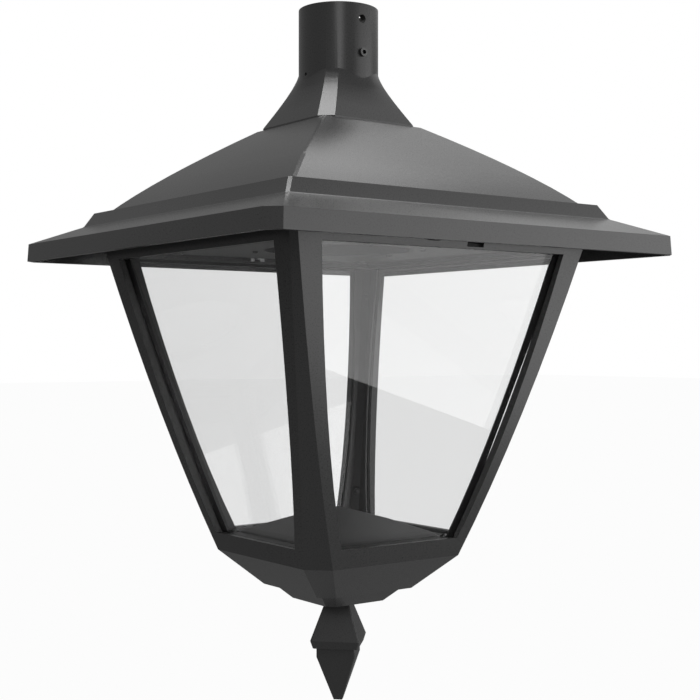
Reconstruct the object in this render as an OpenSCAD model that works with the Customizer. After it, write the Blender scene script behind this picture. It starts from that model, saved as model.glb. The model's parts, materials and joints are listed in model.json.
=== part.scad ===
// Square pendant lantern for a pole arm: cast neck and roof, and a glazed cast body that swings down.
// Millimetres. The origin is on the axis at the top rim of the pole sleeve, +Z up, so all lies below it.
// The hinge side faces -Y and the closing screw +Y.

/* [Pole sleeve and neck] */
// Outside diameter of the pole sleeve
sleeve_d = 76; // [70:1:80]
// Diameter of the pole socket
socket_d = 62; // [60:0.5:63]
// Depth of the pole socket
socket_depth = 72; // [62:1:76]
// Height of the neck, from the sleeve's rim to the roof
neck_h = 113.4; // [110:0.2:120]
// Width of the neck across the foot of its skirt
neck_foot_w = 112.8; // [108:0.4:118]
// Diameter of the cable way from the socket into the roof
cable_way_d = 28; // [16:1:36]
// Size of the pole's grub screw
grub_d = 8; // [6:1:10]
// Depth of the grub screw below the rim
grub_z = 46; // [40:1:50]
// Depth of the open upper hole below the rim
upper_hole_z = 14.5; // [12:0.5:20]

/* [Roof] */
// Width of the roof across its fascia
roof_w = 448.8; // [430:0.4:470]
// Height of the roof, from the neck's foot to the fascia's lower edge
roof_h = 123; // [120:0.5:130]
// Height of the fascia
fascia_h = 17; // [12:0.5:20]
// Width across the upstand between brim and pyramid
step_w = 361.4; // [356:0.2:366]
// Height of that upstand
step_h = 14; // [10:0.5:16]
// Width across the foot of the pyramid
pyramid_w = 325; // [318:0.5:330]
// Thickness of the cast walls
wall = 5; // [4:0.5:6]

/* [Glazed body] */
// Width across the top rail
body_w = 330; // [320:1:336]
// Width across the foot of the posts
body_foot_w = 181.2; // [170:0.4:190]
// Height of the top rail below its upper face
rail_h = 24; // [22:0.5:28]
// Height of the glazed part, from the top rail's lower edge to the bottom rail
glazed_h = 261.5; // [240:0.5:280]
// Height of the bottom rail
foot_rail_h = 17.5; // [14:0.5:20]
// Width of a post's face at the top rail
post_top_w = 29; // [26:0.5:32]
// Width of a post's face at the bottom rail
post_foot_w = 29; // [26:0.5:32]
// Height of the dish under the bottom rail
dish_h = 32.6; // [28:0.2:36]
// Width across the foot of the dish
dish_foot_w = 112.6; // [104:0.4:118]
// Height of the boss under the dish
boss_h = 13.4; // [10:0.2:16]

/* [Glass] */
// Thickness of the glass
glass_t = 4; // [3:0.5:5]
// Thickness of the glass seals
seal_t = 1.5; // [1:0.25:2]
// Thickness of the retainers' sheet
sheet_t = 2; // [1.5:0.25:2.5]

/* [Finial] */
// Width of the finial at its widest
finial_w = 47.2; // [42:0.4:52]
// Length of the finial
finial_h = 96; // [88:1:104]

/* [Light unit] */
// Room between the gear tray and the ring that the body closes on
tray_gap = 12; // [8:1:20]
// Diameter of the light unit's lens ring
ring_d = 170; // [150:2:190]
// Height of the gear tray's skirt
tray_lip = 8; // [5:0.5:10]

/* [Hinge and closing] */
// Place of the hinge arm on the left, from the middle
hinge_left_x = -21; // [-32:1:-20]
// Place of the hinge arm on the right
hinge_right_x = 27; // [20:1:32]
// Diameter of the hinge pins
pin_d = 5; // [4:0.5:6]
// Width of a hinge arm
arm_w = 15; // [12:0.5:16]
// Width of the closing strap
strap_w = 17; // [15:0.5:20]

/* [Hidden] */

$fn = 48;
// Sides of the largest round faces
round_fn = 96;
// Steps along each curved outline
curve_n = 8;
// Overlap that keeps cuts clean
cut = 1;
// Free play between pieces that move past each other
play = 0.3;
// Running clearance of the hinge pins, on the radius
pin_play = 0.06;
// Clearance of a screw in its hole, on the radius
screw_play = 0.25;
// Room left in a blind hole past the screw's end
screw_end = 3;
// A hair's breadth, where two faces would else lie in one plane
hair = 0.1;
// Long enough to reach through any wall
far = 90;

anthracite = [0.20, 0.21, 0.22];
steel = [0.72, 0.73, 0.74];
dark_steel = [0.16, 0.16, 0.17];
rubber = [0.12, 0.12, 0.12];
glass_tint = [0.85, 0.90, 0.92, 0.35];

// Heights, all below the sleeve's rim
foot_z = -neck_h;
fascia_z = foot_z - roof_h;
brim_z = fascia_z + fascia_h;
step_top_z = brim_z + 30.2;
step_foot_z = step_top_z - step_h;
rail_top_z = fascia_z + 24.4;
rail_foot_z = rail_top_z - rail_h;
foot_rail_z = rail_foot_z - glazed_h;
post_foot_z = foot_rail_z - foot_rail_h;
dish_z = post_foot_z - dish_h;
boss_z = dish_z - boss_h;
tip_z = boss_z - finial_h;

// Half widths
neck_a = neck_foot_w / 2;
roof_a = roof_w / 2;
step_a = step_w / 2;
pyramid_a = pyramid_w / 2;
body_a = body_w / 2;
body_foot_a = body_foot_w / 2;

// A point on a curve drawn by three or four points, t from 0 to 1
function arc3(p, q, r, t) = (1 - t) * (1 - t) * p + 2 * t * (1 - t) * q + t * t * r;
function arc4(p, q, r, s, t) = (1 - t) * arc3(p, q, r, t) + t * arc3(q, r, s, t);

// A square of half width a with its corners cut back by c
function cut_square(a, c) = [[a, c - a], [a, a - c], [a - c, a], [c - a, a],
    [-a, a - c], [-a, c - a], [c - a, -a], [a - c, -a]];

// A solid through cut squares, each given as [half width, corner, height], from the top down
module stack(rings) {
    n = len(rings);
    m = 8;
    pts = [for (r = rings) for (p = cut_square(r[0], r[1])) [p[0], p[1], r[2]]];
    sides = [for (i = [0:n - 2]) for (k = [0:m - 1])
        [i * m + k, i * m + (k + 1) % m, (i + 1) * m + (k + 1) % m, (i + 1) * m + k]];
    top = [for (k = [m - 1:-1:0]) k];
    foot = [for (k = [0:m - 1]) (n - 1) * m + k];
    polyhedron(points = pts, faces = concat([top], sides, [foot]), convexity = 6);
}

// A square ring of plate between two half widths
module square_ring(outer, inner, z, h) {
    translate([0, 0, z]) linear_extrude(h) difference() {
        square(2 * outer, center = true);
        square(2 * inner, center = true);
    }
}

module quarter_turns() {
    for (turn = [0:3]) rotate(90 * turn) children();
}

// One copy of the children at each corner of a square of half width a
module at_corners(a) {
    for (x = [-a, a]) for (y = [-a, a]) translate([x, y, 0]) children();
}

// A pan-head screw from z = 0 down, its head standing on the face above
module pan_screw(d, length) {
    translate([0, 0, -length]) cylinder(d = d, h = length);
    difference() {
        intersection() {
            cylinder(d = 2 * d, h = 0.6 * d);
            translate([0, 0, -1.1 * d]) sphere(r = 1.75 * d);
        }
        translate([0, 0, 0.25 * d]) cylinder(d = 0.9 * d, h = d, $fn = 6);
    }
}

// Neck

// The skirt's outline, as half width, corner and height, from the sleeve down to its foot
foot_edge = 1.7;
sleeve_r = sleeve_d / 2;
skirt_top = [0.8 * sleeve_r, 8, -61];
skirt_in = [sleeve_r - 4.6, 8.8, -74];
skirt_out = [0.81 * neck_a, 10.6, foot_z + 19.7];
skirt_end = [neck_a, 11.2, foot_z + foot_edge];
// The flare that eases the sleeve into the middles of the skirt's faces, as growth and height
flare_steps = [[0, -69.5], [0.3, -73], [1.1, -77], [2.6, -81.5], [4.9, -87], [7.6, -92.5], [10.7, -98.5]];
sleeve_end_z = -socket_depth - 12;
hollow_top_z = -socket_depth - 8;
neck_boss_a = neck_a - 19.4;
neck_boss_d = 14;
neck_boss_h = 26;
neck_screw_len = 14;
neck_screw_d = 6;
upper_hole_d = 8;
drain_z = 64.5;
drain_d = 3;

function skirt(grow) = [for (i = [0:curve_n])
    arc4(skirt_top, skirt_in, skirt_out, skirt_end, i / curve_n) + grow * [1, 0.5, 0]];

module skirt_outside() {
    stack(concat(skirt(0), [[neck_a, skirt_end[1], foot_z]]));
}

module neck() color(anthracite) difference() {
    union() {
        difference() {
            union() {
                translate([0, 0, sleeve_end_z]) cylinder(r = sleeve_r, h = -sleeve_end_z, $fn = round_fn);
                skirt_outside();
                rotate_extrude($fn = round_fn) polygon(concat([[0, flare_steps[0][1]]],
                    [for (step = flare_steps) [sleeve_r + step[0], step[1]]],
                    [[0, flare_steps[len(flare_steps) - 1][1]]]));
            }
            stack(concat([for (r = skirt(-wall)) if (r[2] < hollow_top_z) r],
                [[neck_a - wall, skirt_end[1] - wall / 2, foot_z - cut]]));
        }
        intersection() {
            skirt_outside();
            translate([0, 0, foot_z]) at_corners(neck_boss_a) cylinder(d = neck_boss_d, h = neck_boss_h);
        }
    }
    translate([0, 0, -socket_depth]) cylinder(d = socket_d, h = socket_depth + cut, $fn = round_fn);
    translate([0, 0, foot_z]) cylinder(d = cable_way_d, h = neck_h - socket_depth + cut);
    translate([0, 0, foot_z - cut]) at_corners(neck_boss_a) cylinder(d = neck_screw_d, h = neck_screw_len);
    translate([0, 0, -grub_z]) rotate([90, 0, 0]) cylinder(d = grub_d, h = sleeve_d);
    translate([0, 0, -upper_hole_z]) rotate([90, 0, 0]) cylinder(d = upper_hole_d, h = sleeve_d);
    translate([0, 0, -drain_z]) rotate([0, -90, 0]) cylinder(d = drain_d, h = sleeve_d);
}

grub_len = 10;
grub_proud = 3;
grub_key_depth = 4;
module grub_screw() color(dark_steel) translate([0, -sleeve_r - grub_proud, -grub_z]) rotate([-90, 0, 0])
    difference() {
        cylinder(d = grub_d, h = grub_len);
        translate([0, 0, -cut]) cylinder(d = grub_d * 0.55, h = grub_key_depth + cut, $fn = 6);
    }

module neck_screws() color(steel) translate([0, 0, foot_z - wall])
    at_corners(neck_boss_a) rotate([180, 0, 0]) pan_screw(neck_screw_d, wall + neck_screw_len - screw_end);

// Roof

// The pyramid's outline, as half width, corner and height
hip = 2.5;
pyramid_top = [neck_a + 0.6, hip, foot_z];
pyramid_bend = [0.788 * pyramid_a, hip, foot_z - 0.565 * (foot_z - step_top_z)];
pyramid_end = [pyramid_a, hip, step_top_z];
// How far the upstand leans in, and its hollow at the brim
step_lean = 7.7;
cove = 2;
brim_corner = 11;
// The ring that the body closes on, inside the body's rail
seat_in = body_a - 19;
seat_out = body_a - 9;
seat_gap = 2.6;
tray_a = seat_in - tray_gap;
seat_z = rail_top_z + seat_gap;
tray_boss_a = tray_a - 22;
tray_boss_d = 14;
tray_z = rail_foot_z + 7.5;
tray_t = 2;
tray_screw_d = 5;
tray_screw_len = 14;

function pyramid(da, dz) = [for (i = [0:curve_n])
    arc3(pyramid_top, pyramid_bend, pyramid_end, i / curve_n) + [da, 0, dz]];

module roof_outside() {
    stack(concat(pyramid(0, 0), [
        [step_a - step_lean, hip, step_top_z - 2 * hair],
        [step_a - 1.2, hip, step_foot_z + 1.2 * cove],
        [step_a - 0.4, hip, step_foot_z + 0.5 * cove],
        [step_a + 0.8, hip, step_foot_z],
        [step_a + 2.4, hip, step_foot_z - 0.3 * cove],
        [roof_a - 0.9, brim_corner, brim_z],
        [roof_a, brim_corner, fascia_z]]));
}

module roof_inside() {
    stack([
        for (r = pyramid(-0.44 * wall, -wall)) if (r[0] > neck_a - wall) r,
        [step_a - step_lean - wall, hip, step_top_z - 1.1 * wall],
        [step_a - 1.1 * wall, hip, step_foot_z - 0.6 * wall],
        [roof_a - 1.2 * wall, brim_corner - cove, brim_z - wall],
        [roof_a - wall, brim_corner - cove, fascia_z - cut]]);
}

// The hinge's axis, just inside the rail's front
hinge_y = -(body_a - 4.5);
hinge_z = rail_top_z - 13;
eye_r = pin_d / 2 + 2.7;
pin_len = arm_w + 16;
arm_t = 4;
hinge_screw_d = 4;
hinge_screw_len = 12;
hinge_screw_z = seat_z + 8;
// The arms and the strap both reach this far up the seat ring
arm_top_z = seat_z + 14;
strap_t = 3;
strap_foot_z = rail_foot_z + 4.8;
closing_z = rail_foot_z + 12;
closing_d = 6;

module roof() color(anthracite) difference() {
    union() {
        difference() {
            roof_outside();
            roof_inside();
        }
        intersection() {
            roof_outside();
            union() {
                square_ring(seat_out, seat_in, seat_z, far);
                translate([0, 0, tray_z + tray_t]) at_corners(tray_boss_a) cylinder(d = tray_boss_d, h = far);
            }
        }
    }
    translate([0, 0, foot_z - 2 * wall]) {
        cylinder(d = cable_way_d, h = 3 * wall);
        at_corners(neck_boss_a) cylinder(d = neck_screw_d + 2 * screw_play, h = 3 * wall);
    }
    translate([0, 0, tray_z]) at_corners(tray_boss_a) cylinder(d = tray_screw_d, h = tray_screw_len + screw_end + 1);
    hinge_places() translate([0, -seat_in + cut, hinge_screw_z])
        rotate([90, 0, 0]) cylinder(d = hinge_screw_d, h = seat_out - seat_in + 2 * cut);
    translate([0, seat_in - cut, hinge_screw_z]) rotate([-90, 0, 0])
        cylinder(d = hinge_screw_d, h = seat_out - seat_in + 2 * cut);
}

grommet_in_r = 8;
grommet_lip = 3;
grommet_r = cable_way_d / 2 - 2 * hair;
module cable_grommet() color(rubber) translate([0, 0, foot_z - wall]) rotate_extrude()
    polygon([[grommet_in_r, -grommet_lip], [grommet_r + grommet_lip, -grommet_lip],
        [grommet_r + grommet_lip, -hair / 5], [grommet_r, -hair / 5],
        [grommet_r, wall - 2 * hair], [grommet_in_r, wall - 2 * hair]]);

// Gear tray and light unit

tray_top_z = tray_z + tray_t;
ring_r = ring_d / 2;
led_r = ring_r - 14;
ring_h = 18;
ring_top_z = tray_top_z + ring_h;
// The lens lies deep in its ring, out of sight from beside the lantern
lens_z = tray_top_z + 11;
lens_t = 2.5;
lens_r = led_r + 6;
board_t = 1.6;
chip_w = 4;
chip_t = 1;
sink_base_t = 5;
sink_h = 26;
fin_pitch = 9.5;
fin_t = 2;
ring_screw_r = ring_r - 4;
ring_screw_d = 3;
ring_screw_grip = 4;

module ring_places() {
    for (k = [0:5]) rotate(60 * k + 15) translate([ring_screw_r, 0, 0]) children();
}

module gear_tray() color([0.30, 0.31, 0.32]) difference() {
    union() {
        translate([-tray_a, -tray_a, tray_z]) cube([2 * tray_a, 2 * tray_a, tray_t]);
        square_ring(tray_a, tray_a - tray_t, tray_z, tray_t + tray_lip);
    }
    translate([0, 0, tray_z - cut]) {
        cylinder(r = led_r, h = tray_t + 2 * cut);
        at_corners(tray_boss_a) cylinder(d = tray_screw_d + 2 * screw_play, h = tray_t + 2 * cut);
        ring_places() cylinder(d = ring_screw_d + 2 * screw_play, h = tray_t + 2 * cut);
    }
}

module tray_screws() color(steel) translate([0, 0, tray_z]) at_corners(tray_boss_a)
    rotate([180, 0, 0]) pan_screw(tray_screw_d, tray_screw_len);

module heat_sink() color([0.6, 0.61, 0.62]) translate([0, 0, ring_top_z]) difference() {
    union() {
        cylinder(r = ring_r, h = sink_base_t);
        intersection() {
            cylinder(r = ring_r - fin_t, h = sink_h);
            for (k = [-8:8]) translate([k * fin_pitch - fin_t / 2, -ring_r, 0]) cube([fin_t, ring_d, sink_h]);
        }
    }
    translate([0, 0, -cut]) ring_places() cylinder(d = ring_screw_d, h = ring_screw_grip + cut);
}

module light_board() color([0.93, 0.93, 0.90]) translate([0, 0, ring_top_z - board_t])
    cylinder(r = led_r - 1, h = board_t);

// Chips in a middle one and three rings round it, each ring as its count and share of the radius
module light_chips() color([0.95, 0.85, 0.35]) translate([-chip_w / 2, -chip_w / 2, ring_top_z - board_t - chip_t])
    for (row = [[1, 0], [6, 0.28], [12, 0.56], [18, 0.82]]) for (k = [0:row[0] - 1])
        translate(led_r * row[1] * [cos(360 * k / row[0]), sin(360 * k / row[0]), 0]) cube([chip_w, chip_w, chip_t]);

module lens() color([0.93, 0.95, 0.96, 0.7]) rotate_extrude($fn = round_fn)
    polygon([[0, lens_z], [lens_r, lens_z], [lens_r, ring_top_z - 0.1], [lens_r - 3, ring_top_z - 0.1],
        [lens_r - 3, lens_z + lens_t], [0, lens_z + lens_t]]);

module lens_ring() color(anthracite) difference() {
    rotate_extrude($fn = round_fn)
        polygon([[led_r, tray_top_z], [ring_r, tray_top_z], [ring_r, ring_top_z], [lens_r + 0.2, ring_top_z],
            [lens_r + 0.2, lens_z - 0.1], [led_r, lens_z - 0.1]]);
    translate([0, 0, tray_top_z - cut]) ring_places()
        cylinder(d = ring_screw_d + 2 * screw_play, h = ring_h + 2 * cut);
}

module ring_screws() color(steel) translate([0, 0, tray_z]) ring_places()
    rotate([180, 0, 0]) pan_screw(ring_screw_d, tray_t + ring_h + ring_screw_grip);

driver_size = [110, 42, 28];
driver_foot_l = 8;
driver_foot_t = 6;
driver_y = ring_r + 2;
module driver() color([0.9, 0.9, 0.88]) translate([-driver_size[0] / 2, driver_y, tray_top_z]) difference() {
    cube(driver_size);
    for (x = [-cut, driver_size[0] - driver_foot_l]) translate([x, -cut, driver_foot_t])
        cube([driver_foot_l + cut, driver_size[1] + 2 * cut, driver_size[2]]);
}

terminal_size = [60, 22, 20];
terminal_pitch = 12;
module terminal_block() color(rubber) translate([-terminal_size[0] / 2, -tray_a + 16, tray_top_z]) difference() {
    cube(terminal_size);
    for (k = [0:4]) translate([terminal_pitch * (k + 0.5), 6, 8]) {
        cylinder(d = 6, h = terminal_size[2]);
        translate([0, 5, -2]) rotate([90, 0, 0]) cylinder(d = 5, h = terminal_size[1]);
    }
}

module earth_screw() color([0.80, 0.66, 0.28]) translate([tray_a - 34, -tray_a + 64, tray_top_z]) {
    cylinder(d = 14, h = 1);
    translate([0, 0, 1]) cylinder(d = 9, h = 4, $fn = 6);
    cylinder(d = 5, h = 12);
}

// Hinge arms and closing strap, on the roof

module hinge_places() {
    for (x = [hinge_left_x, hinge_right_x]) translate([x, 0, 0]) children();
}

module hinge_arms() color(steel) hinge_places() difference() {
    union() {
        translate([-arm_w / 2, hinge_y, hinge_z]) rotate([0, 90, 0]) cylinder(r = eye_r, h = arm_w);
        translate([-arm_w / 2, -seat_out - arm_t, hinge_z]) cube([arm_w, arm_t, arm_top_z - hinge_z]);
    }
    translate([-arm_w, hinge_y, hinge_z]) rotate([0, 90, 0]) cylinder(d = pin_d + 2 * pin_play, h = 2 * arm_w);
    translate([0, -seat_out + cut, hinge_screw_z]) rotate([90, 0, 0])
        cylinder(d = hinge_screw_d + 2 * screw_play, h = arm_t + 2 * cut);
}

module hinge_screws() color(steel) hinge_places()
    translate([0, -seat_out - arm_t, hinge_screw_z]) rotate([90, 0, 0]) pan_screw(hinge_screw_d, hinge_screw_len);

module closing_strap() color(steel) difference() {
    translate([-strap_w / 2, seat_in - strap_t, strap_foot_z]) cube([strap_w, strap_t, arm_top_z - strap_foot_z]);
    translate([0, seat_in - strap_t - cut, hinge_screw_z]) rotate([-90, 0, 0])
        cylinder(d = hinge_screw_d + 2 * screw_play, h = strap_t + 2 * cut);
    translate([0, seat_in - strap_t - cut, closing_z]) rotate([-90, 0, 0])
        cylinder(d = closing_d + 1, h = strap_t + 2 * cut);
    translate([-closing_d / 2 - 0.5, seat_in - strap_t - cut, strap_foot_z - cut])
        cube([closing_d + 1, strap_t + 2 * cut, closing_z - strap_foot_z + cut]);
}

module strap_screws() color(steel)
    translate([0, seat_in - strap_t, hinge_screw_z]) rotate([90, 0, 0]) pan_screw(hinge_screw_d, hinge_screw_len - 1);

// Glazed body

post_top = [body_a, 5, rail_foot_z + 6];
post_bend = [0.7765 * body_a, 8, rail_foot_z - 0.6015 * glazed_h];
post_end = [body_foot_a, 18.4, post_foot_z];

// The flat inner faces that carry the glass
in_top_a = body_a - wall;
in_slope = (in_top_a - body_foot_a + wall) / (post_top[2] - post_foot_z);
in_tilt = atan(in_slope);
corner_tilt = atan(in_slope * sqrt(2));
function inner_a(z) = in_top_a - in_slope * (post_top[2] - z);

boss_a = dish_foot_w / 2 - 8.3;
boss_foot_a = boss_a - 13.8;
stem_d = 10;
flange_a = body_a - 21;
flange_t = 4;
in_top_corner = 3;
in_foot_corner = 13;
rail_in_a = body_a - 14;
rail_block_z = rail_foot_z + 3;
ledge_z = foot_rail_z - 8.5;
ledge_t = 5;
dish_in_z = dish_z + 3;
ledge_a = inner_a(ledge_z) - 26;
floor_screw_a = inner_a(ledge_z) - 16.5;
floor_screw_d = 4;

function post(i) = arc3(post_top, post_bend, post_end, i / curve_n);

module body_outside() {
    stack(concat([[body_a, 5, rail_top_z]], [for (i = [0:curve_n]) post(i)], [
        [dish_foot_w / 2, 12.5, dish_z],
        [boss_a, 9, dish_z - 2 * hair],
        [boss_foot_a, 7, boss_z]]));
}

module body_inside(inset, top_z, low_z, top_corner, low_corner) {
    stack([[inner_a(top_z) - inset, top_corner, top_z], [inner_a(low_z) - inset, low_corner, low_z]]);
}

// One window's outline, from the axis of its face, grown by the given margin
window_top = [body_a - post_top_w, rail_foot_z];
window_bend = [0.6594 * body_a, rail_foot_z - 0.5989 * glazed_h];
window_foot = [inner_a(foot_rail_z) + wall - post_foot_w + 0.5, foot_rail_z];

module window(margin, up = 0, down = 0) {
    side = [for (i = [0:curve_n])
        arc3(window_top, window_bend, window_foot, i / curve_n) + [margin, 0]];
    pts = concat([[side[0][0], rail_foot_z + up]], side, [[side[curve_n][0], foot_rail_z - down]]);
    translate([0, body_w, 0]) rotate([90, 0, 0]) linear_extrude(2 * body_w)
        polygon(concat(pts, [for (i = [len(pts) - 1:-1:0]) [-pts[i][0], pts[i][1]]]));
}

module both_ways() {
    children();
    rotate(90) children();
}

strap_room = 3;
pocket_w = 19;
pocket_back = body_a - 11;
pocket_z = hinge_z - eye_r - 0.8;
pocket_corner = 4;
pocket_lip_z = rail_foot_z + 1.7;
retainer_corner = 6.5;
retainer_screw_d = 4;
retainer_screw_len = 9;
retainer_boss_d = 8;
// How far the retainers lie inside the body's inner faces, measured level
retainer_inset = (seal_t + glass_t) / cos(in_tilt) + hair / 2;
retainer_zs = [rail_foot_z - 30, foot_rail_z + 26];

// The pocket that a hinge arm stands in, open at the top and to the front, its lower corners rounded by r
module hinge_pocket(x, r) {
    translate([x, -pocket_back, pocket_z]) rotate([90, 0, 0]) linear_extrude(body_a + cut - pocket_back) hull() {
        for (side = [-1, 1]) translate([side * (pocket_w / 2 - r), r]) circle(r = r);
        translate([-pocket_w / 2, r]) square([pocket_w, rail_h]);
    }
}

module retainer_boss_at(z) {
    in_corner(z, retainer_inset) cylinder(d = retainer_boss_d, h = far / 2);
}

// Children in each corner of the body, their +Z square to the corner's slope and pointing out
module in_corner(z, inset) {
    reach = (2 * (inner_a(z) - inset) - retainer_corner) / sqrt(2);
    quarter_turns() rotate(45) translate([reach, 0, z]) rotate([0, 90 + corner_tilt, 0]) children();
}

module body_frame() color(anthracite) difference() {
    union() {
        difference() {
            body_outside();
            body_inside(0, rail_top_z + 2, ledge_z, in_top_corner, in_foot_corner);
            both_ways() window(0);
        }
        intersection() {
            body_outside();
            union() {
                square_ring(body_a, rail_in_a, rail_block_z, rail_top_z - rail_block_z);
                square_ring(body_a, flange_a, rail_top_z - flange_t, flange_t);
                for (z = retainer_zs) retainer_boss_at(z);
            }
        }
    }
    stack([[ledge_a, 10, ledge_z + cut], [ledge_a, 10, ledge_z - ledge_t],
        [body_foot_a - 12, 12, ledge_z - ledge_t - hair], [body_foot_a - wall - 2, 16, post_foot_z + 1],
        [dish_foot_w / 2 - wall, 11, dish_z + 4], [22, 5, dish_in_z]]);
    translate([0, 0, boss_z - cut]) cylinder(d = stem_d + 2 * screw_play, h = boss_h + wall + cut);
    for (z = retainer_zs) in_corner(z, retainer_inset) translate([0, 0, -cut])
        cylinder(d = retainer_screw_d, h = retainer_screw_len - 1 + cut);
    translate([0, 0, ledge_z - ledge_t - cut]) at_corners(floor_screw_a)
        cylinder(d = floor_screw_d, h = ledge_t + 2 * cut);
    hinge_pocket(hinge_left_x, pocket_corner);
    hinge_pocket(hinge_right_x, 0.1);
    translate([hinge_right_x - pocket_w / 2, -body_a - cut, pocket_lip_z]) cube([pocket_w, cut + 4, rail_h]);
    translate([hinge_left_x - pin_len / 2, hinge_y, hinge_z]) rotate([0, 90, 0])
        cylinder(d = pin_d, h = hinge_right_x - hinge_left_x + pin_len);
    translate([0, flange_a, closing_z]) rotate([-90, 0, 0])
        cylinder(d = closing_d + 2 * screw_play, h = body_a - flange_a + cut);
    translate([-strap_w / 2 - strap_room, flange_a - cut, rail_top_z - flange_t - cut])
        cube([strap_w + 2 * strap_room, rail_in_a - flange_a + cut, flange_t + 2 * cut]);
}

module body_seal() color(rubber)
    square_ring(pocket_back - 5 * hair, seat_in, rail_top_z, seat_gap - play);

// The panes, cut level at top and foot, in the middle of their face
pane_side_gap = 13.2;
pane_top_z = rail_block_z - play;
pane_foot_z = ledge_z;
pane_top_a = inner_a(pane_top_z) - pane_side_gap;
pane_foot_a = inner_a(pane_foot_z) - in_foot_corner - play;

module pane_range() intersection() {
    children();
    translate([-body_a, -body_a, pane_foot_z + 2 * hair])
        cube([body_w, body_w, pane_top_z - pane_foot_z - 2 * hair]);
}

// A flat plate laid against the inside of the front face, inset and thick

module face_plate(inset, thick) {
    long = (pane_top_z - pane_foot_z) / cos(in_tilt);
    translate([0, -inner_a(pane_top_z), pane_top_z]) rotate([in_tilt, 0, 0])
        translate([0, inset + thick, 0]) rotate([90, 0, 0]) linear_extrude(thick)
            polygon([[-pane_top_a, 0], [pane_top_a, 0], [pane_foot_a, -long], [-pane_foot_a, -long]]);
}

module pane() pane_range() face_plate(seal_t, glass_t);

module glass_front() color(glass_tint) pane();
module glass_right() color(glass_tint) rotate(90) pane();
module glass_back() color(glass_tint) rotate(180) pane();
module glass_left() color(glass_tint) rotate(270) pane();

module glass_seals() color(rubber) quarter_turns() difference() {
    pane_range() face_plate(hair / 10, seal_t - hair / 10);
    window(1);
}

// Thickness of the retainers across their corner, square to its slope
sheet_seat = (2 * sheet_t - 1) / sqrt(2) * cos(corner_tilt) + hair / 5;
// How far the retainers show beside the posts, and end short of the body's ledges
retainer_lip = 2.5;
retainer_gap = 3;

module glass_retainers() color([0.35, 0.36, 0.37]) difference() {
    body_inside(retainer_inset, rail_block_z - 1, ledge_z + retainer_gap, retainer_corner, retainer_corner);
    body_inside(retainer_inset + sheet_t, rail_block_z, ledge_z + retainer_gap - 1,
        retainer_corner - 1, retainer_corner - 1);
    both_ways() window(-retainer_lip, rail_h, rail_h);
    for (z = retainer_zs) in_corner(z, retainer_inset) translate([0, 0, -2 * wall])
        cylinder(d = retainer_screw_d + 2 * screw_play, h = 4 * wall);
}

module retainer_screws() color(dark_steel) for (z = retainer_zs) in_corner(z, retainer_inset)
    translate([0, 0, -sheet_seat]) rotate([180, 0, 0]) pan_screw(retainer_screw_d, retainer_screw_len);

// Floor, finial and their fixings

floor_t = 2;
floor_gap = retainer_inset + sheet_t + 2 * play;
floor_corner = 10;
// The corners stay solid round the floor's screws
floor_pad_corner = 26;
shelf_z = foot_rail_z - 2;
mound_z = foot_rail_z - 1.2;
mound_a = inner_a(shelf_z) - 21.1;
mound_corner = 3;
apex_z = foot_rail_z + 24.5;

module floor_cover() color(anthracite) difference() {
    stack([[1, hair, apex_z], [mound_a / 2, mound_corner, apex_z - 10.5],
        [mound_a - 5, mound_corner, mound_z + 3.2], [mound_a, mound_corner, mound_z],
        [mound_a + 0.8, mound_corner, shelf_z],
        [inner_a(shelf_z) - floor_gap, floor_corner, shelf_z],
        [inner_a(ledge_z) - floor_gap, floor_corner, ledge_z]]);
    stack([[1, hair, apex_z - 1.5 * floor_t], [mound_a / 2 - 1, mound_corner, apex_z - 13],
        [mound_a - 7, mound_corner, mound_z + 0.5], [mound_a - 3, mound_corner, shelf_z - floor_t + play],
        [inner_a(shelf_z) - floor_gap - floor_t, floor_pad_corner, shelf_z - floor_t],
        [inner_a(ledge_z) - floor_gap - floor_t, floor_pad_corner, ledge_z - cut]]);
    translate([0, 0, ledge_z - cut]) at_corners(floor_screw_a)
        cylinder(d = floor_screw_d + 2 * screw_play, h = shelf_z - ledge_z + 2 * cut);
}

module floor_screws() color(steel) translate([0, 0, shelf_z]) at_corners(floor_screw_a)
    pan_screw(floor_screw_d, shelf_z - ledge_z + ledge_t + 1);

module hinge_pins() color(steel) hinge_places() translate([-pin_len / 2, hinge_y, hinge_z])
    rotate([0, 90, 0]) cylinder(d = pin_d, h = pin_len);

closing_head_d = 10;
closing_head_h = 6;
closing_len = body_a - seat_in + strap_t + 8;
module closing_screw() color(steel) translate([0, body_a, closing_z]) rotate([-90, 0, 0]) {
    translate([0, 0, -closing_len]) cylinder(d = closing_d, h = closing_len);
    difference() {
        cylinder(d = closing_head_d, h = closing_head_h);
        translate([0, 0, closing_head_h / 2]) cylinder(d = closing_head_d / 2, h = closing_head_h, $fn = 6);
    }
}

module hex_nut(across, bore, high) difference() {
    cylinder(d = across, h = high, $fn = 6);
    translate([0, 0, -cut]) cylinder(d = bore, h = high + 2 * cut);
}

module closing_nut() color(steel) translate([0, seat_in - strap_t - play, closing_z]) rotate([90, 0, 0])
    hex_nut(12, closing_d, 5);

finial_wide = finial_w / 2;
finial_wide_z = boss_z - 0.384 * finial_h;
finial_step_z = finial_wide_z - 7.4;
finial_low = 18.4;
finial_nut_h = 8;
stem_h = dish_in_z - boss_z + finial_nut_h + cut;
module finial() color(anthracite) {
    rotate(45) stack([[10.6, 1, boss_z], [finial_wide, 1.2, finial_wide_z], [finial_wide - 2.2, 1.2, finial_step_z],
        [finial_low, 1, finial_step_z - hair], [finial_low, 1, finial_wide_z - 16], [4.1, 0.4, tip_z]]);
    translate([0, 0, boss_z - cut]) cylinder(d = stem_d, h = stem_h + cut);
}

module finial_nut() color(steel) translate([0, 0, dish_in_z + 2 * hair]) hex_nut(18, stem_d, finial_nut_h);

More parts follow.
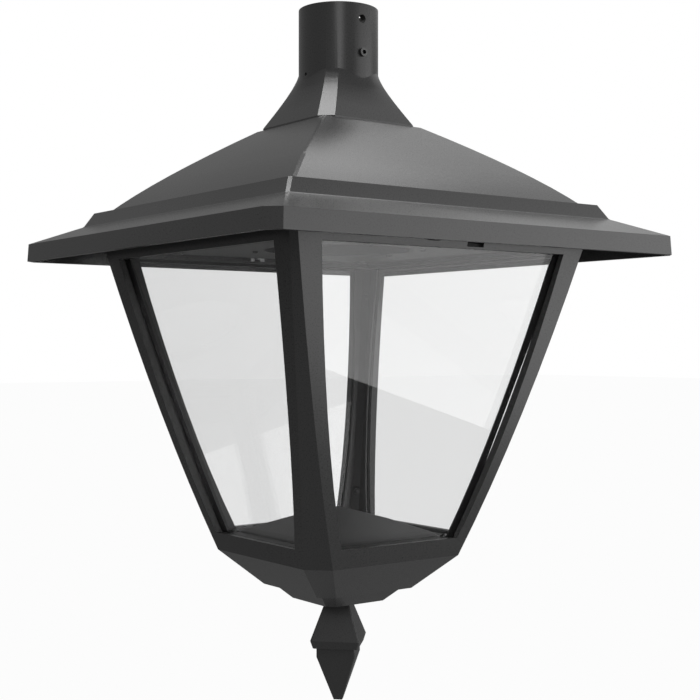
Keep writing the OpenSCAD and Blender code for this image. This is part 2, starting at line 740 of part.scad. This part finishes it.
neck();
grub_screw();
neck_screws();
roof();
cable_grommet();
gear_tray();
tray_screws();
heat_sink();
light_board();
light_chips();
lens();
lens_ring();
ring_screws();
driver();
terminal_block();
earth_screw();
hinge_arms();
hinge_screws();
closing_strap();
strap_screws();
body_frame();
body_seal();
glass_front();
glass_right();
glass_back();
glass_left();
glass_seals();
glass_retainers();
retainer_screws();
floor_cover();
floor_screws();
hinge_pins();
closing_screw();
closing_nut();
finial();
finial_nut();
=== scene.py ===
"""Looks of the pendant lantern: finishes, the neck's skirt, cast edges, light and the camera."""
import json
import math
from collections import namedtuple

import bmesh
import bpy
from mathutils import Matrix, Vector


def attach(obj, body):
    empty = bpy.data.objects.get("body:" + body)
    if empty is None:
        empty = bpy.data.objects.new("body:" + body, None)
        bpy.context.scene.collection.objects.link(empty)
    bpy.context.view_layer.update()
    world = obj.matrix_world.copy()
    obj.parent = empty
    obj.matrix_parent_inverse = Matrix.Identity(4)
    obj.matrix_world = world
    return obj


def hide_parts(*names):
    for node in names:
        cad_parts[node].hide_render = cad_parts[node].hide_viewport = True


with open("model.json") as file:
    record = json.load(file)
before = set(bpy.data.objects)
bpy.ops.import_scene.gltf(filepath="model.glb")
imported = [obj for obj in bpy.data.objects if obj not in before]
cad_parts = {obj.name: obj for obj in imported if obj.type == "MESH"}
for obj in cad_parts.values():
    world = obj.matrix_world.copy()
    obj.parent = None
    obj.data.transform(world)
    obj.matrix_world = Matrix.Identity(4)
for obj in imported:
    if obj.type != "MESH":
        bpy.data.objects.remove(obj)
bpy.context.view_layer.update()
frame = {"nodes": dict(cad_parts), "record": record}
scene = bpy.context.scene
nodes = frame["nodes"]
MM = 0.001
WHITE = (1, 1, 1, 1)


# Shader nodes

# The part of a pattern's 0 to 1 over which tone and roughness change
PATTERN_LOW = 0.3
PATTERN_HIGH = 0.7


def first_node(tree, kind):
    """The tree's first node of that type."""
    return next(n for n in tree.nodes if n.type == kind)


def new_material(name):
    """A new node material, its node tree and its Principled shader."""
    mat = bpy.data.materials.new(name)
    mat.use_nodes = True
    return mat, mat.node_tree, first_node(mat.node_tree, "BSDF_PRINCIPLED")


def add(tree, kind, **values):
    """A new node of that kind, with its settings or inputs as given."""
    node = tree.nodes.new(kind)
    for key, value in values.items():
        if hasattr(node, key):
            setattr(node, key, value)
        else:
            node.inputs[key.replace("_", " ")].default_value = value
    return node


def noise(tree, scale, detail, stretch=(1, 1, 1)):
    """Noise in the object's own metres, at scale per metre."""
    where = add(tree, "ShaderNodeTexCoord")
    mapping = add(tree, "ShaderNodeMapping", Scale=stretch)
    grain = add(tree, "ShaderNodeTexNoise", Scale=scale, Detail=detail)
    tree.links.new(where.outputs["Object"], mapping.inputs["Vector"])
    tree.links.new(mapping.outputs["Vector"], grain.inputs["Vector"])
    return grain.outputs["Fac"]


def spread(tree, pattern, low, high):
    """The pattern as a number between low and high."""
    node = add(tree, "ShaderNodeMapRange", From_Min=PATTERN_LOW, From_Max=PATTERN_HIGH,
               To_Min=low, To_Max=high)
    tree.links.new(pattern, node.inputs["Value"])
    return node.outputs["Result"]


def tone(tree, pattern, dark, light):
    """The pattern as a colour between dark and light."""
    node = add(tree, "ShaderNodeValToRGB")
    ends = ((PATTERN_LOW, dark), (PATTERN_HIGH, light))
    for end, (position, colour) in zip(node.color_ramp.elements, ends):
        end.position = position
        end.color = (*colour, 1)
    tree.links.new(pattern, node.inputs["Fac"])
    return node.outputs["Color"]


def mix_surface(tree, share, first, second, output="OUTPUT_MATERIAL"):
    """Shows the first shader where share is 0 and the second where it is 1."""
    mix = add(tree, "ShaderNodeMixShader")
    for source, socket in zip((share, first.outputs[0], second.outputs[0]), mix.inputs):
        tree.links.new(source, socket)
    tree.links.new(mix.outputs[0], first_node(tree, output).inputs["Surface"])


def seen_directly(tree):
    """1 for what the camera sees, also through glass, and 0 for what lights or is mirrored."""
    path = add(tree, "ShaderNodeLightPath")
    seen = add(tree, "ShaderNodeMath", operation="MAXIMUM")
    tree.links.new(path.outputs["Is Camera Ray"], seen.inputs[0])
    tree.links.new(path.outputs["Is Transmission Ray"], seen.inputs[1])
    return seen.outputs[0]


# Finishes

# How a kind of surface varies: its tones as shares of its colour, its roughness below and above
# the mean, and the strength and depth of its relief, the depth in millimetres
Texture = namedtuple("Texture", "darker lighter smoother rougher relief depth")
ORANGE_PEEL = Texture(0.94, 1.06, 0.02, 0.03, 0.012, 0.4)
DRAWN_GRAIN = Texture(0.90, 1.05, 0.06, 0.08, 0.05, 0.1)
SPARKED = Texture(0.93, 1.05, 0.05, 0.05, 0.06, 0.2)
RIBBED = Texture(0.90, 1.00, 0.05, 0.05, 0.4, 0.5)

# Scale per metre and detail of each pattern
PEEL = (1400.0, 3.0)
COAT_MOTTLE = (9.0, 2.0)
METAL_GRAIN = (450.0, 4.0)
METAL_DRAWN = (1, 1, 8)
MOULD_SPARK = (900.0, 2.0)
PANE_HAZE = (14.0, 2.0)

RIB_PITCH = 3.0  # millimetres
LENS_ROUGH = 0.35
WAVE_UNIT = 20.0  # a wave texture repeats every 2 pi / (20 x scale)

GLASS_IOR = 1.5
GLASS_HAZE = 0.001


def grey(value, warm=0.0):
    """A grey, with its red raised and its blue lowered by the share warm."""
    return (value * (1 + warm), value, value * (1 - warm))


def textured(tree, shader, kind, colour, rough, pattern, mottle=None):
    """Leads colour, roughness and relief by the pattern, or the colour by a slower mottle."""
    dark, light = (tuple(c * share for c in colour) for share in (kind.darker, kind.lighter))
    tree.links.new(tone(tree, mottle or pattern, dark, light), shader.inputs["Base Color"])
    roughness = spread(tree, pattern, rough - kind.smoother, rough + kind.rougher)
    tree.links.new(roughness, shader.inputs["Roughness"])
    bump = add(tree, "ShaderNodeBump", Strength=kind.relief, Distance=kind.depth * MM)
    tree.links.new(pattern, bump.inputs["Height"])
    tree.links.new(bump.outputs["Normal"], shader.inputs["Normal"])


def powder_coat(name, level, rough=0.28):
    """Satin powder coat: orange peel and slow changes of tone."""
    mat, tree, shader = new_material(name)
    peel, mottle = noise(tree, *PEEL), noise(tree, *COAT_MOTTLE)
    textured(tree, shader, ORANGE_PEEL, grey(level), rough, peel, mottle)
    return mat


def plain_metal(name, level, rough, warm=0.0):
    """Bare metal with a fine drawn grain."""
    mat, tree, shader = new_material(name)
    grain = noise(tree, *METAL_GRAIN, METAL_DRAWN)
    textured(tree, shader, DRAWN_GRAIN, grey(level, warm), rough, grain)
    shader.inputs["Metallic"].default_value = 1.0
    return mat


def moulded(name, colour, rough):
    """Moulded plastic or rubber with a faint sparked texture."""
    mat, tree, shader = new_material(name)
    textured(tree, shader, SPARKED, colour, rough, noise(tree, *MOULD_SPARK))
    return mat


def prismatic(name, colour):
    """Frosted diffuser with fine concentric ribs."""
    mat, tree, shader = new_material(name)
    where = add(tree, "ShaderNodeTexCoord")
    ribs = add(tree, "ShaderNodeTexWave", wave_type="RINGS", rings_direction="Z",
               Scale=2 * math.pi / (WAVE_UNIT * RIB_PITCH * MM))
    tree.links.new(where.outputs["Object"], ribs.inputs["Vector"])
    textured(tree, shader, RIBBED, colour, LENS_ROUGH, ribs.outputs["Fac"])
    return mat


def pane_glass(name, passes):
    """Clear flat glass: what passes is tinted, what mirrors follows Fresnel, with a trace of haze.

    Rays go straight on through the pane, so its inner faces bend as its outer faces do.
    """
    mat, tree, shader = new_material(name)
    tree.nodes.remove(shader)
    clear = add(tree, "ShaderNodeBsdfTransparent", Color=(*passes, 1))
    mirror = add(tree, "ShaderNodeBsdfGlossy")
    haze = spread(tree, noise(tree, *PANE_HAZE), 0.0, GLASS_HAZE)
    tree.links.new(haze, mirror.inputs["Roughness"])
    side = add(tree, "ShaderNodeNewGeometry")
    bend = add(tree, "ShaderNodeMapRange", To_Min=GLASS_IOR, To_Max=1 / GLASS_IOR)
    tree.links.new(side.outputs["Backfacing"], bend.inputs["Value"])
    fresnel = add(tree, "ShaderNodeFresnel")
    tree.links.new(bend.outputs["Result"], fresnel.inputs["IOR"])
    mix_surface(tree, fresnel.outputs["Fac"], clear, mirror)
    return mat


COAT = 0.04

# By slot: each finish's level or colour, and its roughness
finishes = {
    "cast_anthracite": powder_coat("cast_anthracite", COAT),
    # Painted light: a lighter copy of the cast coat, its level raised to stand in for the light
    # that reaches the ceiling inside the lantern
    "tray_sheet": powder_coat("tray_sheet", COAT * 1.2, 0.36),
    "retainer_sheet": powder_coat("retainer_sheet", COAT, 0.34),
    # Painted light: a lighter copy of the cast coat, its level raised to stand in for the light and
    # reflection on the lantern's floor
    "floor_sheet": powder_coat("floor_sheet", COAT * 1.9, 0.34),
    "black_steel": plain_metal("black_steel", 0.10, 0.3),
    "stainless": plain_metal("stainless", 0.36, 0.34),
    "bare_aluminium": plain_metal("bare_aluminium", 0.6, 0.4),
    "brass_fixing": plain_metal("brass_fixing", 0.55, 0.35, warm=0.35),
    "black_rubber": moulded("black_rubber", grey(0.025), 0.6),
    "white_board": moulded("white_board", grey(0.75), 0.4),
    "chip_resin": moulded("chip_resin", (0.85, 0.62, 0.12), 0.25),
    "grey_plastic": moulded("grey_plastic", grey(0.6), 0.45),
    "black_plastic": moulded("black_plastic", grey(0.03), 0.45),
    "frosted_lens": prismatic("frosted_lens", grey(0.78)),
    "clear_glass": pane_glass("clear_glass", (0.974, 0.975, 0.975)),
}


# The neck's skirt, in millimetres

# The four points that lead its curve from the sleeve to the foot: half width, corner and height
SKIRT = ((30.4, 8.0, -61.0), (33.4, 8.8, -74.0), (45.68, 10.6, -93.7), (56.4, 11.2, -111.7))
# How far the middle of a skirt face swells past its corners, by height
SWELL = ((-61.0, 7.2), (-65.5, 5.85), (-69.5, 4.8), (-73.0, 3.8), (-78.0, 2.35), (-84.5, 1.45),
         (-91.2, 0.8), (-98.0, 0.35), (-111.7, 0.0))
SKIRT_RINGS = 28
FACE_STEPS = 20
SKIRT_SKIN = 2.5  # the shell's depth into the casting
SKIRT_PROUD = 0.03  # how far it stands past the CAD skirt where the two would lie together
MERGE = 0.02  # points of the joined casting this near each other become one

# The sleeve's drain hole, a trace wider than the CAD hole, so that their walls don't lie together
DRAIN_Z = -64.5
DRAIN_R = 1.6
DRAIN_SIDES = 24
DRAIN_FROM_TO = (-45.0, -20.0)


def between(table, at):
    """The value in a table of (place, value) rows, with straight lines between the rows."""
    rows = sorted(table)
    for (low, low_value), (high, high_value) in zip(rows, rows[1:]):
        if at <= high:
            return low_value + (high_value - low_value) * (at - low) / (high - low)
    return rows[-1][1]


def along_curve(points, t):
    """The place at t, 0 to 1, on the cubic Bezier curve that four points lead."""
    shares = ((1 - t) ** 3, 3 * t * (1 - t) ** 2, 3 * t * t * (1 - t), t ** 3)
    return (sum(k * value for k, value in zip(shares, values)) for values in zip(*points))


def swelled_ring(half, corner, swell, z):
    """One ring of the skirt: four faces that swell in the middle, joined by flat corners."""
    reach = half - corner
    face = []
    for i in range(FACE_STEPS + 1):
        along = -1 + 2 * i / FACE_STEPS
        face.append((half + swell * (1 - along * along), along * reach))
    turns = ((1, 0), (0, 1), (-1, 0), (0, -1))
    return [((x * c - y * q) * MM, (x * q + y * c) * MM, z * MM) for c, q in turns for x, y in face]


def skirt_shell():
    """A closed shell with the skirt's true outside, from the round sleeve to the square foot."""
    outside, inside = [], []
    for i in range(SKIRT_RINGS + 1):
        half, corner, z = along_curve(SKIRT, i / SKIRT_RINGS)
        swell = between(SWELL, z)
        outside.append(swelled_ring(half + SKIRT_PROUD, corner, swell, z))
        inside.append(swelled_ring(half - SKIRT_SKIN, corner, swell, z))
    rings = outside + inside[::-1]
    count = len(rings[0])
    faces = []
    for i in range(len(rings)):
        j = (i + 1) % len(rings)
        for k in range(count):
            m = (k + 1) % count
            faces.append((i * count + k, j * count + k, j * count + m, i * count + m))
    mesh = bpy.data.meshes.new("skirt_shell")
    mesh.from_pydata([point for ring in rings for point in ring], [], faces)
    form = bmesh.new()
    form.from_mesh(mesh)
    bmesh.ops.recalc_face_normals(form, faces=form.faces)
    form.to_mesh(mesh)
    form.free()
    return mesh


def drain_pin():
    """A pin that keeps the sleeve's drain hole open."""
    start, end = DRAIN_FROM_TO
    lie_along_x = Matrix.Rotation(math.pi / 2, 4, "Y")
    move = Matrix.Translation(((start + end) / 2 * MM, 0, DRAIN_Z * MM))
    form = bmesh.new()
    bmesh.ops.create_cone(form, cap_ends=True, segments=DRAIN_SIDES, radius1=DRAIN_R * MM,
                          radius2=DRAIN_R * MM, depth=(end - start) * MM,
                          matrix=move @ lie_along_x)
    mesh = bpy.data.meshes.new("drain_pin")
    form.to_mesh(mesh)
    form.free()
    return mesh


def neck_casting():
    """The neck with its swelled skirt, in place of the CAD neck."""
    piece = bpy.data.objects.new("neck_casting", nodes["neck"].data.copy())
    scene.collection.objects.link(piece)
    helpers = []
    for mesh, operation in ((skirt_shell(), "UNION"), (drain_pin(), "DIFFERENCE")):
        helper = bpy.data.objects.new(mesh.name, mesh)
        scene.collection.objects.link(helper)
        change = piece.modifiers.new(mesh.name, "BOOLEAN")
        change.object = helper
        change.operation = operation
        change.solver = "EXACT"
        helpers.append(helper)
    bpy.context.view_layer.update()
    shaped = piece.evaluated_get(bpy.context.evaluated_depsgraph_get())
    mesh = bpy.data.meshes.new_from_object(shaped)
    form = bmesh.new()
    form.from_mesh(mesh)
    bmesh.ops.remove_doubles(form, verts=form.verts, dist=MERGE * MM)
    bmesh.ops.dissolve_degenerate(form, edges=form.edges, dist=MERGE * MM)
    form.to_mesh(mesh)
    form.free()
    piece.modifiers.clear()
    piece.data = mesh
    for helper in helpers:
        bpy.data.objects.remove(helper)
    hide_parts("neck")
    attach(piece, "canopy")
    return piece


# Dressing each piece

# How wide the edges of a cast piece are rounded, in millimetres
BEVELS = {"neck": 0.4, "roof": 0.6, "body_frame": 0.5, "finial": 0.6, "floor_cover": 0.5,
          "gear_tray": 0.5}
BEVEL_STEPS = 2
BEVEL_ANGLE = math.radians(25.0)  # edges that turn more than this are rounded
FLAT_ANGLE = math.radians(0.4)  # faces that turn less than this are one
WELD = 0.01  # points nearer than this are one, in millimetres


def slot_of(node):
    """The record's material slot of a node."""
    return next(s["material_slot"] for s in frame["record"]["subparts"] if s["node"] == node)


def round_edges(obj, width):
    """Rounds a piece's sharp edges, with modifiers that leave its own mesh alone."""
    weld = obj.modifiers.new("weld", "WELD")
    weld.merge_threshold = WELD * MM
    flat = obj.modifiers.new("flat", "DECIMATE")
    flat.decimate_type = "DISSOLVE"
    flat.angle_limit = FLAT_ANGLE
    edge = obj.modifiers.new("edge", "BEVEL")
    edge.width = width * MM
    edge.segments = BEVEL_STEPS
    edge.limit_method = "ANGLE"
    edge.angle_limit = BEVEL_ANGLE
    obj.modifiers.new("normals", "WEIGHTED_NORMAL")


def dress(obj, node):
    """Gives a piece the finish of its node's slot, and the node's rounded edges if it has them."""
    finish = finishes[slot_of(node)]
    if not obj.material_slots:
        obj.data.materials.append(finish)
    for place in obj.material_slots:
        place.material = finish
    if node in BEVELS:
        round_edges(obj, BEVELS[node])


for name, obj in nodes.items():
    dress(obj, name)
dress(neck_casting(), "neck")


# Floor and light

FLOOR_Z = -2.0
FLOOR_HALF = 60.0
FLOOR_SHADE = 0.4  # the floor's colour where it takes light
FLOOR_ROUGH = 0.9
FLOOR_SHINE = 0.1
FLOOR_WHITE = 0.97  # the share of plain white that the camera sees; the rest shows the shadow
WORLD_LIGHT = 0.28


def pale_floor():
    """A floor that shows nearly white to the camera and still takes the object's shadow."""
    mat, tree, shader = new_material("pale_floor")
    shader.inputs["Base Color"].default_value = (*grey(FLOOR_SHADE), 1)
    shader.inputs["Roughness"].default_value = FLOOR_ROUGH
    shader.inputs["Specular IOR Level"].default_value = FLOOR_SHINE
    part = add(tree, "ShaderNodeMath", operation="MULTIPLY")
    tree.links.new(seen_directly(tree), part.inputs[0])
    part.inputs[1].default_value = FLOOR_WHITE
    glow = add(tree, "ShaderNodeEmission", Color=WHITE, Strength=1.0)
    mix_surface(tree, part.outputs[0], shader, glow)
    return mat


def studio_world():
    """Soft light from all round, behind a background that shows white to the camera."""
    world = bpy.data.worlds.new("studio")
    world.use_nodes = True
    tree = world.node_tree
    light = first_node(tree, "BACKGROUND")
    light.inputs["Color"].default_value = WHITE
    light.inputs["Strength"].default_value = WORLD_LIGHT
    white = add(tree, "ShaderNodeBackground", Color=WHITE, Strength=1.0)
    mix_surface(tree, seen_directly(tree), light, white, "OUTPUT_WORLD")
    return world


def softbox(name, place, aim, size, level):
    """A rectangular lamp at place that points at aim, as bright as level times white paper."""
    lamp = bpy.data.lights.new(name, "AREA")
    lamp.shape = "RECTANGLE"
    lamp.size, lamp.size_y = size
    lamp.energy = level * math.pi * size[0] * size[1]
    obj = bpy.data.objects.new(name, lamp)
    obj.location = place
    obj.rotation_euler = (Vector(aim) - Vector(place)).to_track_quat("-Z", "Y").to_euler()
    obj.visible_camera = False
    obj.visible_transmission = False
    scene.collection.objects.link(obj)


floor_mesh = bpy.data.meshes.new("floor")
corners = [(x * FLOOR_HALF, y * FLOOR_HALF, FLOOR_Z)
           for x, y in ((-1, -1), (1, -1), (1, 1), (-1, 1))]
floor_mesh.from_pydata(corners, [], [(0, 1, 2, 3)])
floor_mesh.materials.append(pale_floor())
floor = bpy.data.objects.new("floor", floor_mesh)
scene.collection.objects.link(floor)

scene.world = studio_world()
# Place, aim and size in metres, and level
softbox("key", (1.56, -1.56, -0.43), (0, 0, -0.43), (2.4, 1.8), 1.9)
softbox("front_strip", (-1.2, -1.8, 0.0), (0, 0, -0.1), (0.8, 1.5), 2.4)
softbox("behind_right", (1.75, 0.25, 1.28), (0, 0, -0.2), (2.4, 1.7), 0.58)
softbox("above", (-0.14, 0.18, 1.9), (-0.05, 0.06, -0.2), (1.05, 1.05), 7.6)
softbox("above_behind", (0.95, 0.55, 2.06), (0, 0, -0.3), (1.2, 1.4), 1.9)


# Camera, from the photograph's perspective

AZIMUTH = math.radians(-36.22)
DISTANCE = 1.236
EYE_Z = -0.3227
SENSOR_MM = 36
FOCAL_PX = 1292.0
IMAGE_PX = 700
AXIS_PX = (338.4, 349.0)  # where the camera's axis meets the image
cam = bpy.data.cameras.new("camera")
cam.sensor_width = SENSOR_MM
cam.lens = FOCAL_PX / IMAGE_PX * SENSOR_MM
cam.shift_x = 0.5 - AXIS_PX[0] / IMAGE_PX
cam.shift_y = AXIS_PX[1] / IMAGE_PX - 0.5
camera = bpy.data.objects.new("camera", cam)
camera.location = (math.sin(AZIMUTH) * DISTANCE, -math.cos(AZIMUTH) * DISTANCE, EYE_Z)
camera.rotation_euler = (math.pi / 2, 0, AZIMUTH)
scene.collection.objects.link(camera)
scene.camera = camera
scene.view_settings.view_transform = "Standard"
